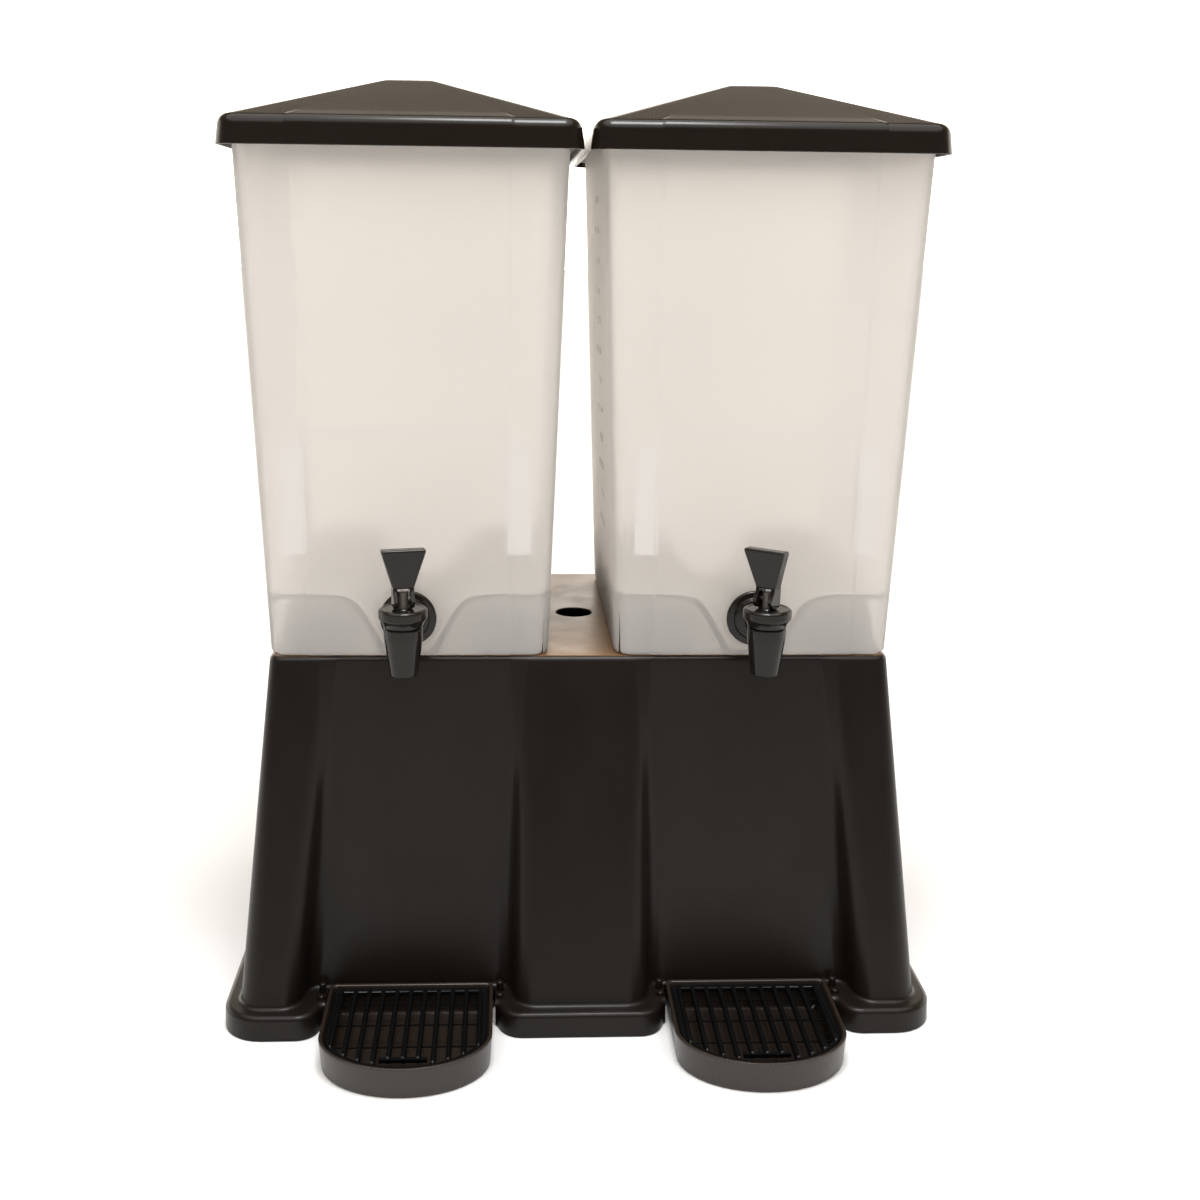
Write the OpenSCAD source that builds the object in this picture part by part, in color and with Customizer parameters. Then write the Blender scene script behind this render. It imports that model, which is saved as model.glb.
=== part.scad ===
// Twin fountain soda dispenser: two tapered tanks with hipped lids stand on one moulded base.
// Each tank has a self-closing lever faucet at the front, over a drip tray that slides into the base.
// Frame: X across, -Y towards the customer, +Z up. The origin is on the counter, midway along the
// whole width and depth. Millimetres.

/* [Base] */
// Height of the deck that the tanks stand on
base_h = 243; // [225:1:260]
// Width of the deck
deck_w = 411; // [409:1:414]
// Depth of the deck
deck_d = 240; // [240:1:246]
// Width across the flange at the counter
flange_w = 474; // [468:1:486]
// Height of the flange
flange_h = 17; // [15:1:20]
// Wall thickness of the base
base_wall = 3.5; // [3:0.5:4.5]
// Diameter of the round hole in the middle of the deck
deck_hole_d = 26; // [20:1:30]

/* [Tanks] */
// Distance from the middle of the base to the middle of a tank
tank_x = 113.5; // [113:0.5:114.5]
// Width of a tank at its foot
tank_w_foot = 183; // [178:1:183]
// Width of a tank under its lid
tank_w_rim = 207; // [203:0.5:207]
// Height of a tank
tank_h = 333; // [300:1:350]
// Wall thickness of a tank
tank_wall = 3; // [2.5:0.5:3.5]
// Height of the raised floor each side of the drain channel
floor_rise = 41; // [40:1:46]

/* [Lids] */
// Width of a lid
lid_w = 224; // [223:0.5:225]
// Height of a lid's rim band
lid_band_h = 16.5; // [15:0.5:20]
// Height of the hipped roof over the band
roof_h = 30; // [24:1:36]
// Width of the flat at the top of the roof
flat_w = 33; // [28:1:40]

/* [Drip trays] */
// Width of a drip tray
tray_w = 110; // [107:1:110]
// Height of a drip tray
tray_h = 21; // [19:1:23]
// Depth of a drip tray, from its bowed front to the base
tray_reach = 104.5; // [98:0.5:108]
// Distance between the ribs of a drip grid
rib_pitch = 9.3; // [9:0.1:9.6]

/* [Faucets] */
// Height of the faucet shank over the deck
shank_rise = 27; // [26:0.5:28]
// Distance from the tank's front to the spout's axis
spout_reach = 49; // [46:1:54]
// Inner diameter of the spout
spout_bore_d = 11; // [9:0.5:12]
// Angle by which the left handle is turned about its stem
left_turn = 12; // [-45:1:45]
// Angle by which the right handle is turned about its stem
right_turn = -36; // [-45:1:45]
// How far the top of a handle leans forward
handle_lean = 5.5; // [0:0.5:8]
// How far the stem rises for each degree that the handle is tipped
lift_per_degree = 0.045; // [0.03:0.005:0.05]
// How far the handle tips
tip_range = 70; // [50:1:75]

/* [Hidden] */

eps = 0.01;
fine = 64;            // facets of a round part
fillet_facets = 6;    // facets of one corner of an outline
gap = 0.2;            // play between two pieces that rest on each other
past = 1;             // how far a cutting tool reaches past the face it opens

// Places along Y, from the customer's side to the back
tray_play = 1.5;                      // between a tray and the base
bay_lean = 27;                        // how far the panel behind a tray leans back
back_lean = 19.5;                     // how far the back wall leans forward
back_step = 27;                       // from the deck to the back of the flange
overall_d = tray_reach + tray_play + bay_lean + deck_d + back_step;
tray_front = -overall_d / 2;
tray_back = tray_front + tray_reach;
bay_front = tray_back + tray_play;    // foot of the panel behind a tray
deck_front = bay_front + bay_lean;
deck_back = deck_front + deck_d;
flange_front = deck_front - 65.5;
flange_back = overall_d / 2;

// Walls of the base: each pair is a value at the counter and the same value at the deck
wall_half = [flange_w / 2 - 9, deck_w / 2];
wall_back = [deck_back + back_lean, deck_back];
pillar_face = [deck_front - 59, deck_front - 0.6];
bay_face = [bay_front, deck_front];
side_pillar = [189, 172];             // inner side of an outer pillar
middle_pillar = [43, 35];             // half the width of the middle pillar
pillar_slope = [5, 12];               // width of a pillar's slanted side
back_round = [24, 10];
front_round = [18, 9];
pillar_round = [15, 12];
bay_round = [9, 12];

// Flange of the base: its notches make room for the trays
notch_back = deck_front - 48;
notch_outer = [9, 3];                // from the tray to the notch, at the front and at the back of it
notch_inner = [9, 2];
flange_round = 28;
notch_round = 15;
notch_foot = 5;
bay_play = 1.5;                       // from a tray to the sides of its bay
cheek_t = 3;
cheek_d = 24;

// Rounded top edges of the base: pairs of how far in and how far below the top
flange_edge = [[0.5, 4], [1.6, 1.2], [4, 0]];
deck_edge = [[0, 4], [0.9, 1.2], [3.2, 0]];
deck_hole_back = 115;                 // from the front of the deck to the middle of its hole

// Locating blocks on the deck, measured from the middle of a tank
block_x = [40, 86];
block_y = [-61.5, 162];
block_h = 33;
block_round = 8;
block_edge = 3;

// Tank
tank_z = base_h + gap;
tank_front = deck_front + 0.5;
tank_back = deck_back - 1.5;
tank_lean = 11.5;                     // how far the back wall leans out to the rim
rim_back = tank_back + tank_lean;
rim_z = tank_z + tank_h;
tank_round = 12;
inside_round = 9;
panel_half = 66;                      // half the width of the panel that stands proud of the front
panel_proud = 0.6;
panel_edge = 1.2;                     // half the width of the panel's slanted edge
rim_lip = 5;                          // how far the rim stands out
rim_turn = 9;                         // how far its edge is turned down
rim_t = [1.8, 2.5];                   // thickness of the turned edge and of the rim's top
channel_z = tank_z + tank_wall + 0.3; // bottom of the drain channel
floor_z = tank_z + floor_rise;        // top of the raised floor
strip_x = 72;                         // middle of a thick strip of the front wall
strip_w = 16;
strip_z = [floor_z + 27, floor_z + 100];
strip_in = 4;                         // from the front face to the inside of a strip
ledge_z = floor_z + 106;
ledge_h = 1.2;
mark_count = 12;
mark_pitch = 20;
mark_l = [40, 24];                    // lengths of the two kinds of capacity mark, in turn
mark_h = 4;
mark_proud = 0.7;
mark_first = 30;                      // height of the first mark over the raised floor
mark_y = 14;

// Lid
lid_play = 0.3;                       // between the lid and the rim it rests on
lid_drop = 12.5;                      // how far the band hangs below the rim's top
lid_z = rim_z - lid_drop;
band_z = lid_z + lid_band_h;
roof_z = band_z + roof_h;
lid_overhang = 8.5;
lid_front = tank_front - lid_overhang;
lid_back = rim_back + lid_overhang;
lid_wall = 2.5;
lid_round = 14;
lid_panel_half = 68;                  // half the width of the lid's proud front panel
lid_panel_edge = 1.5;
lid_panel_proud = 1.1;
lid_edge = [[1.2, 4.5], [3, 1.5], [6, 0]];  // rounded top edge: how far in, how far below the top
flat_round = 4;
flat_panel_half = 7;
roof_rest = 11;                       // from the band to the hollow of the roof
roof_t = 3;

// Drip tray
tray_wall = 2.5;
tray_bow = 41;                        // depth of the bowed front
tray_draft = [1.4, 0.3, 0.5];         // how far in the side is at the foot, under the edge and at the top
tray_edge = 2;
ledge_in = [2.4, 5.4];                // outer and inner edge of the ledge that the grid rests on
tongue_w = 88;
tongue_l = 40;
tongue_h = 6;
grid_z = tray_h - 1;                  // top of the ribs
grid_play = 1.1;
grid_h = 4;
rail_h = 2.6;                         // height of the frame round the grid
bar_h = 0.8;
bar_w = 3;
bar_y = [32, 58, 84];                 // bars across the ribs, from the front of the tray
rib_w = 3.2;
rib_last = 5;                         // ribs each side of the middle one
notch_r = 9;                          // finger notch
web_w = 30;                           // web behind the notch
web_d = 17;

// Faucet: its own origin is where the shank's axis meets the spout's axis
shank_z = base_h + shank_rise;
spout_y = tank_front - spout_reach;
wall_face = tank_front - panel_proud - spout_y;  // outer face of the tank's front, from the spout
wall_inner = wall_face + panel_proud + tank_wall;
shank_r = 7.9;
neck_r = 6.8;
flange_r = 18.5;
collar_r = 13.5;
collar_t = 2.5;
flange_t = 3;
washer_t = 2.2;
outer_washer_r = 17;
inner_washer_r = 13;
shank_tail = 20;                      // length of the shank inside the tank
passage_r = 5.2;
spout_tip = -24.5;
spout_r = [8.8, 12.3];                // at the tip and at the shoulder
shoulder_z = 6;
body_r = 11;
body_top = 14;
chamber_r = 8;
seat_z = -9;
bonnet_r = 15.3;
bonnet_top = 19;
spring_top = 15;
stem_r = 3.6;
stem_play = 0.15;
stem_foot = -4;
stem_top = 29.5;
stem_shoulder = 2;
shoulder_r = 7;
pivot_z = 25;
pin_r = 1.5;
leg_in = stem_r + 0.3;
leg_out = leg_in + 2.6;
heel = pivot_z - bonnet_top - 0.3;    // from the pin down to the heel of the handle
cam_k = lift_per_degree * 180 / PI;   // stem lift for each radian of tip
blade_foot = 6.5;                     // from the pin up to the blade
blade_top = 32;
blade_half = 14.2;
blade_t = [9.2, 8.8];                 // thickness at the foot and at the top
blade_round = 2;
nut_r = 11.5;
nut_h = 8;
nut_wing = [7, 11, 4];                // size of one wing of the shank nut

// ---------- Helpers ----------

function unit(v) = v / norm(v);
function mix(a, b, t) = a + (b - a) * t;

// Value at the fraction t between the two values of a pair
function between(pair, t) = mix(pair[0], pair[1], t);

// Points of the fillet at corner q = [x, y, radius], between its neighbours p and s
function fillet(p, q, s) =
    let (here = [q.x, q.y],
         u = unit([p.x, p.y] - here),
         v = unit([s.x, s.y] - here),
         half = acos(u * v) / 2,
         start = here + u * q[2] / tan(half),
         finish = here + v * q[2] / tan(half),
         centre = here + unit(u + v) * q[2] / sin(half),
         a = atan2(start.y - centre.y, start.x - centre.x),
         d = atan2(finish.y - centre.y, finish.x - centre.x) - a,
         turn = d > 180 ? d - 360 : d < -180 ? d + 360 : d)
    [for (i = [0:fillet_facets]) let (b = a + turn * i / fillet_facets)
        centre + q[2] * [cos(b), sin(b)]];

// Outline through corners [x, y, radius], anticlockwise
function outline(corners) =
    let (n = len(corners))
    [for (i = [0:n - 1]) each fillet(corners[(i + n - 1) % n], corners[i], corners[(i + 1) % n])];

// Corners of a left half and their mirror images, in one loop
function both_sides(left) =
    concat(left, [for (i = [len(left) - 1:-1:0]) [-left[i].x, left[i].y, left[i][2]]]);

// Rectangle with round corners, from half its width and its two Y limits
function rectangle(half, front, back, r) = outline(both_sides([[-half, back, r], [-half, front, r]]));

// Closed solid through a stack of outlines [[points, z], ...] with the same number of points
module loft(rings) {
    n = len(rings[0][0]);
    last = len(rings) - 1;
    points = [for (ring = rings) each [for (p = ring[0]) [p.x, p.y, ring[1]]]];
    sides = [for (k = [0:last - 1], i = [0:n - 1])
        let (j = (i + 1) % n, a = k * n + i, b = k * n + j, c = b + n, d = a + n)
        each [[a, d, c], [a, c, b]]];
    polyhedron(
        points = points,
        faces = concat([[for (i = [0:n - 1]) i]], [[for (i = [n - 1:-1:0]) last * n + i]], sides)
    );
}

// Cylinder along +Y from y0 to y1
module along_y(r, y0, y1) {
    translate([0, y0, 0]) rotate([-90, 0, 0]) cylinder(r = r, h = y1 - y0, $fn = fine);
}

module tank_place(side) translate([side * tank_x, 0, 0]) children();
module faucet_place(side) translate([side * tank_x, spout_y, shank_z]) children();
module handle_place(side) faucet_place(side) rotate([0, 0, side < 0 ? left_turn : right_turn]) children();

// ---------- Base ----------

// Outline of the walls at height z, moved in by t
function base_ring(z, t) =
    let (k = z / base_h,
         half = between(wall_half, k) - t,
         pillar = between(pillar_face, k) + t,
         bay = between(bay_face, k) + t,
         inner = between(side_pillar, k) + t,
         middle = between(middle_pillar, k) - t,
         slope = between(pillar_slope, k))
    outline(both_sides([
        [-half, between(wall_back, k) - t, between(back_round, k) - t],
        [-half, pillar, between(front_round, k) - t],
        [-inner, pillar, between(pillar_round, k) - t],
        [-inner + slope, bay, between(bay_round, k)],
        [-middle - slope, bay, between(bay_round, k)],
        [-middle, pillar, between(pillar_round, k) - t]
    ]));

// Outline of the flange, moved in by t
function flange_ring(t) =
    let (side = flange_w / 2 - t,
         front = flange_front + t,
         outer = tank_x + tray_w / 2,
         inner = tank_x - tray_w / 2)
    outline(both_sides([
        [-side, flange_back - t, flange_round - t],
        [-side, front, flange_round - t],
        [-outer - notch_outer[0] - t, front, notch_round - t],
        [-outer - notch_outer[1] - t, notch_back + t, notch_foot],
        [-inner + notch_inner[1] + t, notch_back + t, notch_foot],
        [-inner + notch_inner[0] + t, front, notch_round - t]
    ]));

// Outline of a locating block, drawn in by t at its sides and further at its two ends
function block_ring(t) = outline([
    [block_x[0] + t, block_y[1] - 2 * t, block_round],
    [block_x[0] + t, block_y[0] + 3 * t, block_round],
    [block_x[1] - t, block_y[0] + 3 * t, block_round],
    [block_x[1] - t, block_y[1] - 2 * t, block_round]
]);

// Small round posts beside each tray, which guide it into the base
module tray_guides() {
    post_r = 2.5;
    root = 4;
    for (side = [-1, 1], hand = [-1, 1])
        for (post = [[7, 3], [16, 7]])
            translate([side * tank_x + hand * (tray_w / 2 + 4.5), notch_back + post[0], flange_h - root])
                cylinder(r = post_r, h = root + post[1], $fn = 32);
}

// Hollow walls and flange, as one skin: up the inside comes first, then the outside from the floor
module base_skin() {
    inside = flange_h - base_wall;
    loft(concat(
        [
            [base_ring(base_h, base_wall), base_h - base_wall],
            [base_ring(flange_h, base_wall), inside],
            [flange_ring(base_wall + 0.5), inside],
            [flange_ring(base_wall), 0],
            [flange_ring(0), 0]
        ],
        [for (edge = flange_edge) [flange_ring(edge[0]), flange_h - edge[1]]],
        [[base_ring(flange_h, 0), flange_h]],
        [for (edge = deck_edge) [base_ring(base_h - edge[1], edge[0]), base_h - edge[1]]]
    ));
}

module base_shell() {
    guide = tray_w / 2 + bay_play;
    bay_start = flange_front - 10;
    hole_depth = base_wall + 6;
    color("#2b2622") union() {
        difference() {
            base_skin();
            // Bays that the trays slide into
            for (side = [-1, 1])
                translate([side * tank_x - guide, bay_start, -2])
                    cube([2 * guide, bay_front - past - bay_start, flange_h + 5]);
            translate([0, deck_front + deck_hole_back, base_h - hole_depth])
                cylinder(d = deck_hole_d, h = hole_depth + past, $fn = fine);
        }
        // Cheeks that close the cut ends of the flange beside each tray
        for (side = [-1, 1], hand = [0, 1])
            translate([side * tank_x, 0, 0]) mirror([hand, 0, 0])
                translate([guide, notch_back + 2, 0.5]) cube([cheek_t, cheek_d, flange_h - 2]);
        tray_guides();
    }
}

// Blocks on the deck that stand in the pockets under the tanks and hold them in place
module locating_blocks() {
    shoulder = block_h - block_edge;
    color("#2b2622")
        for (side = [-1, 1], hand = [0, 1])
            tank_place(side) mirror([hand, 0, 0])
                loft([
                    [block_ring(0), base_h],
                    [block_ring(block_edge), base_h + shoulder],
                    [block_ring(2 * block_edge), base_h + block_h]
                ]);
}

// Non-slip strips pressed into the channel of the flange, at each side
module base_pads() {
    strip = [6, 45, flange_h - base_wall];
    color("#151515")
        for (x = [-1, 1], y = [flange_front + 50, flange_back - 90])
            translate([x * (flange_w / 2 - 8) - strip.x / 2, y, 0]) cube(strip);
}

// ---------- Tank ----------

// Fraction of the tank's height at z
function tank_k(z) = (z - tank_z) / tank_h;

function tank_half(z) = mix(tank_w_foot, tank_w_rim, tank_k(z)) / 2;

// Outer outline of a tank at height z, moved in by t, with the proud panel in the front
function tank_ring(z, t) =
    let (half = tank_half(z) - t, front = tank_front + t)
    outline(both_sides([
        [-half, mix(tank_back, rim_back, tank_k(z)) - t, tank_round - t],
        [-half, front, tank_round - t],
        [-panel_half - panel_edge, front, 0.6],
        [-panel_half + panel_edge, front - panel_proud, 0.6]
    ]));

// Inner outline of a tank at height z
function tank_inside(z) = rectangle(
    tank_half(z) - tank_wall,
    tank_front + tank_wall,
    mix(tank_back, rim_back, tank_k(z)) - tank_wall,
    inside_round
);

// Section of the drain channel, down the middle of the floor
module channel_section() {
    top_half = 52;
    half = [[14, channel_z], [20.5, channel_z + 11], [29, channel_z + 26], [36, channel_z + 34],
            [44, floor_z - 0.8], [top_half, floor_z]];
    polygon(concat(half, [[top_half, floor_z + 3 * past], [-top_half, floor_z + 3 * past]],
        [for (i = [len(half) - 1:-1:0]) [-half[i].x, half[i].y]]));
}

// Section of the pocket under the raised floor, on one side: it follows the channel
module pocket_section() {
    roof = floor_z - tank_wall;
    outer = tank_w_foot / 2 - tank_wall;
    polygon([[18.5, tank_z - past], [outer, tank_z - past], [outer + 1, roof],
             [50, roof], [40, roof - 3.5], [33, roof - 11], [24, roof - 26]]);
}

// Extrudes a section in XZ from y0 to y1
module slab_y(y0, y1) {
    translate([0, y1, 0]) rotate([90, 0, 0]) linear_extrude(height = y1 - y0) children();
}

// Raised capacity marks on the left wall
module capacity_marks() {
    lean = atan((tank_w_rim - tank_w_foot) / 2 / tank_h);
    for (i = [0:mark_count - 1]) {
        z = floor_z + mark_first + i * mark_pitch;
        translate([-tank_half(z), mark_y, z]) rotate([0, -lean, 0])
            translate([-mark_proud, 0, 0]) cube([2 * mark_proud, mark_l[i % 2], mark_h]);
    }
}

// Rim, with its edge turned down
module tank_rim() {
    low = rim_z - rim_turn;
    under = rim_z - rim_t[1];
    turned = rim_lip - rim_t[0];
    difference() {
        loft([[tank_ring(low, -rim_lip), low], [tank_ring(rim_z, -rim_lip), rim_z]]);
        loft([[tank_ring(low - past, -turned), low - past], [tank_ring(under, -turned), under]]);
    }
}

// Thick strips inside the front wall, and the ledge over them
module front_ribs() {
    for (hand = [-1, 1])
        translate([hand * strip_x - strip_w / 2, tank_front + 1, strip_z[0]])
            cube([strip_w, strip_in - 1, strip_z[1] - strip_z[0]]);
    translate([-strip_x + strip_w / 2 + 1, tank_front + 1, ledge_z])
        cube([2 * strip_x - strip_w - 2, strip_in - 1, ledge_h]);
}

module tank() {
    front = tank_front + tank_wall;
    back = tank_back - tank_wall;
    color([0.93, 0.90, 0.86, 0.8]) difference() {
        union() {
            loft([[tank_ring(tank_z, 0), tank_z], [tank_ring(rim_z, 0), rim_z]]);
            tank_rim();
            capacity_marks();
            front_ribs();
        }
        loft([[tank_inside(floor_z), floor_z], [tank_inside(rim_z + past), rim_z + past]]);
        slab_y(front, back) channel_section();
        for (hand = [0, 1]) mirror([hand, 0, 0]) slab_y(front, back) pocket_section();
        translate([0, 0, shank_z]) along_y(shank_r + 0.3, tank_front - 10, front + 5);
    }
}

// ---------- Lid ----------

// Outline of the lid's band, moved in by t
function lid_ring(t) =
    let (half = lid_w / 2 - t, front = lid_front + t)
    outline(both_sides([
        [-half, lid_back - t, lid_round - t],
        [-half, front, lid_round - t],
        [-lid_panel_half, front, 0.4],
        [-lid_panel_half + lid_panel_edge, front - lid_panel_proud, 0.4]
    ]));

// Outline of the flat at the top, with as many corners as the band
function flat_ring() =
    let (run = (lid_w - flat_w) / 2, front = lid_front + run)
    outline(both_sides([
        [-flat_w / 2, lid_back - run, flat_round],
        [-flat_w / 2, front, flat_round],
        [-flat_panel_half, front, 0.2],
        [-flat_panel_half + 1, front - 0.3, 0.2]
    ]));

module lid() {
    seat = rim_z + lid_play;
    hollow_top = (lid_w - flat_w) / 2 + 1.5;
    color("#2e2823") difference() {
        loft(concat(
            [[lid_ring(0), lid_z]],
            [for (edge = lid_edge) [lid_ring(edge[0]), band_z - edge[1]]],
            [[flat_ring(), roof_z]]
        ));
        loft([[lid_ring(lid_wall), lid_z - past], [lid_ring(lid_wall + 0.3), seat]]);
        loft([
            [rectangle(lid_w / 2 - roof_rest, lid_front + roof_rest, lid_back - roof_rest, 8), seat - past],
            [rectangle(flat_w / 2, lid_front + hollow_top, lid_back - hollow_top, flat_round),
             roof_z - roof_t]
        ]);
    }
}

// ---------- Drip tray ----------

// Outline of a tray, moved in by t: straight sides and a bowed front
function tray_ring(t, back) =
    let (half = tray_w / 2 - t,
         bow = tray_bow - 0.6 * t,
         side = tray_front + tray_bow + 0.4 * t,
         steps = 24)
    concat(
        [for (i = [0:steps]) let (a = 180 + 180 * i / steps) [half * cos(a), side + bow * sin(a)]],
        [[half, back], [-half, back]]
    );

module drip_tray() {
    color("#3a342f") {
        difference() {
            loft([
                [tray_ring(tray_draft[0], tray_back), 0],
                [tray_ring(tray_draft[1], tray_back), tray_h - tray_edge],
                [tray_ring(tray_draft[2], tray_back), tray_h]
            ]);
            loft([
                [tray_ring(tray_wall + tray_draft[0], tray_back - tray_wall), tray_wall],
                [tray_ring(tray_wall + tray_draft[1], tray_back - tray_wall), tray_h + past]
            ]);
        }
        // Ledge that the grid rests on
        difference() {
            linear_extrude(height = grid_z - grid_h - 0.3) polygon(tray_ring(ledge_in[0], tray_back - 1));
            translate([0, 0, -past])
                linear_extrude(height = grid_z) polygon(tray_ring(ledge_in[1], tray_back - 6));
        }
        // Tongue that goes under the base
        translate([-tongue_w / 2, tray_back - 1, 0]) cube([tongue_w, tongue_l, tongue_h]);
    }
}

// Round-topped rib of a grid, along Y
module rib(x, front, back) {
    r = rib_w / 2;
    translate([x, front, grid_z - r]) rotate([-90, 0, 0]) cylinder(r = r, h = back - front, $fn = 24);
    translate([x - r, front, grid_z - grid_h]) cube([rib_w, back - front, grid_h - r]);
}

module drip_grid() {
    edge = tray_wall + grid_play;
    back = tray_back - tray_wall - 0.8;
    half = tray_w / 2 - edge;
    foot = grid_z - grid_h;
    color("#16181a") {
        difference() {
            translate([0, 0, foot]) linear_extrude(height = rail_h) polygon(tray_ring(edge, back));
            translate([0, 0, foot - past]) linear_extrude(height = grid_h + past) difference() {
                polygon(tray_ring(edge + 4, back - 4));
                // Web behind the finger notch
                translate([-web_w / 2, tray_front]) square([web_w, web_d]);
            }
            translate([0, tray_front + edge, foot - past])
                cylinder(r = notch_r, h = grid_h + 2 * past, $fn = fine);
        }
        // Bars across, under the ribs
        translate([0, 0, foot]) linear_extrude(height = bar_h) intersection() {
            polygon(tray_ring(edge + 1, back - 1));
            for (y = bar_y) translate([-tray_w / 2, tray_front + y]) square([tray_w, bar_w]);
        }
        for (i = [-rib_last:rib_last]) {
            x = i * rib_pitch;
            bow = tray_front + tray_bow - tray_bow * sqrt(1 - pow(x / (half + 1.5), 2));
            rib(x, abs(i) < 2 ? tray_front + web_d - 2 : bow + 7, back - 2);
        }
    }
}

// ---------- Faucet ----------

module faucet_body() {
    disc = wall_face - washer_t - flange_t;
    color("#1a1815") difference() {
        union() {
            translate([0, 0, spout_tip])
                cylinder(r1 = spout_r[0], r2 = spout_r[1], h = shoulder_z - spout_tip, $fn = fine);
            translate([0, 0, shoulder_z - eps]) cylinder(r = body_r, h = body_top - shoulder_z, $fn = fine);
            along_y(neck_r, 4, disc + past);
            along_y(collar_r, disc - collar_t, disc + eps);
            along_y(flange_r, disc, wall_face - washer_t);
            along_y(shank_r, wall_face - washer_t - past, wall_inner + shank_tail);
        }
        translate([0, 0, spout_tip - past])
            cylinder(d = spout_bore_d, h = seat_z - spout_tip + 2, $fn = fine);
        translate([0, 0, seat_z]) cylinder(r = chamber_r, h = body_top - seat_z + past, $fn = fine);
        along_y(passage_r, 0, wall_inner + shank_tail + past);
    }
}

module bonnet() {
    foot = shoulder_z + 1;
    color("#1a1815") difference() {
        rotate_extrude($fn = fine) polygon([
            [0, foot], [12.5, foot], [13.1, foot + 3], [bonnet_r, foot + 6], [bonnet_r, bonnet_top - 2.6],
            [bonnet_r - 0.8, bonnet_top - 1.2], [bonnet_r - 2.6, bonnet_top], [0, bonnet_top]
        ]);
        translate([0, 0, foot - past]) cylinder(r = body_r + 0.1, h = spring_top - foot + past, $fn = fine);
        cylinder(r = stem_r + stem_play, h = bonnet_top + past, $fn = fine);
    }
}

module stem() {
    color("#2b2926") difference() {
        union() {
            translate([0, 0, stem_foot]) cylinder(r = stem_r, h = stem_top - stem_foot, $fn = fine);
            cylinder(r = shoulder_r, h = stem_shoulder, $fn = fine);
        }
        translate([-leg_out, 0, pivot_z]) rotate([0, 90, 0])
            cylinder(r = pin_r + 0.02, h = 2 * leg_out, $fn = fine);
    }
}

// Silicone cup that closes the spout and fits round the foot of the stem
module seat_cup() {
    rim = [7.3, -0.2];
    hole = stem_r + 0.1;
    color("#d8d2c6") rotate_extrude($fn = fine) polygon([
        [0, seat_z + 0.1], [rim[0] - 1.1, seat_z + 0.1], [rim[0], seat_z + 3], rim, [hole, rim[1]],
        [hole, stem_foot - gap], [0, stem_foot - gap]
    ]);
}

// Coil spring between the stem's shoulder and the bonnet
module valve_spring() {
    wire = 0.5;
    mean = 6;
    turns = 5;
    steps = 12;
    sides = 6;
    low = stem_shoulder + wire + 0.05;
    rise = spring_top - low - wire - 0.05;
    n = turns * steps;
    points = [for (k = [0:n], j = [0:sides - 1])
        let (a = k * 360 / steps, b = j * 360 / sides, r = mean + wire * cos(b))
        [r * cos(a), r * sin(a), low + rise * k / n + wire * sin(b)]];
    walls = [for (k = [0:n - 1], j = [0:sides - 1])
        let (m = (j + 1) % sides, a = k * sides + j, b = k * sides + m, c = b + sides, d = a + sides)
        each [[a, b, c], [a, c, d]]];
    color("silver") polyhedron(
        points = points,
        faces = concat([[for (j = [sides - 1:-1:0]) j]], [[for (j = [0:sides - 1]) n * sides + j]], walls)
    );
}

// Side view of a handle's leg about the pin: its heel is an involute, so that it stays on the bonnet
// while the stem rises
module leg_section() {
    steps = 12;
    top = blade_foot + 1.5;
    cam = [for (i = [0:steps])
        let (a = i * tip_range / steps, s = heel + lift_per_degree * a)
        [-s * sin(a) - cam_k * cos(a), -s * cos(a) + cam_k * sin(a)]];
    polygon(concat([[4.6, top], [4.6, -heel + 2], [3, -heel]], cam, [[-5, 5], [-4.6, top]]));
}

module handle() {
    color("#1a1815") difference() {
        translate([0, 0, pivot_z]) union() {
            for (hand = [0, 1]) mirror([hand, 0, 0])
                translate([leg_in, 0, 0]) rotate([90, 0, 90])
                    linear_extrude(height = leg_out - leg_in) leg_section();
            // Blade, flared to the top, with its edges rounded
            hull() {
                translate([-leg_out, -blade_t[0] / 2, blade_foot]) cube([2 * leg_out, blade_t[0], 1]);
                for (x = [-1, 1], y = [-1, 1])
                    translate([
                        x * (blade_half - blade_round),
                        y * (blade_t[1] / 2 - blade_round) - handle_lean,
                        blade_top - blade_round
                    ]) sphere(r = blade_round, $fn = 32);
            }
        }
        translate([-leg_out - past, 0, pivot_z]) rotate([0, 90, 0])
            cylinder(r = pin_r + 0.06, h = 2 * (leg_out + past), $fn = fine);
    }
}

module handle_pin() {
    length = 2 * leg_out - 0.4;
    color("silver") translate([-length / 2, 0, pivot_z])
        rotate([0, 90, 0]) cylinder(r = pin_r, h = length, $fn = fine);
}

module outer_washer() {
    color("#0d0d0d") difference() {
        along_y(outer_washer_r, wall_face - washer_t, wall_face);
        along_y(shank_r + 0.1, wall_face - 10, wall_face + 10);
    }
}

module inner_washer() {
    color("#0d0d0d") difference() {
        along_y(inner_washer_r, wall_inner, wall_inner + 2);
        along_y(shank_r + 0.1, wall_inner - 10, wall_inner + 10);
    }
}

module shank_nut() {
    start = wall_inner + 2;
    color("#2b2926") difference() {
        union() {
            along_y(nut_r, start, start + nut_h);
            for (a = [45, 225]) rotate([0, a, 0])
                translate([nut_r - 2.5, start + 1, -nut_wing.z / 2]) cube(nut_wing);
        }
        along_y(shank_r + 0.05, start - 5, start + shank_tail);
    }
}

// ---------- Nodes ----------

base_shell();
base_pads();
locating_blocks();

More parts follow.
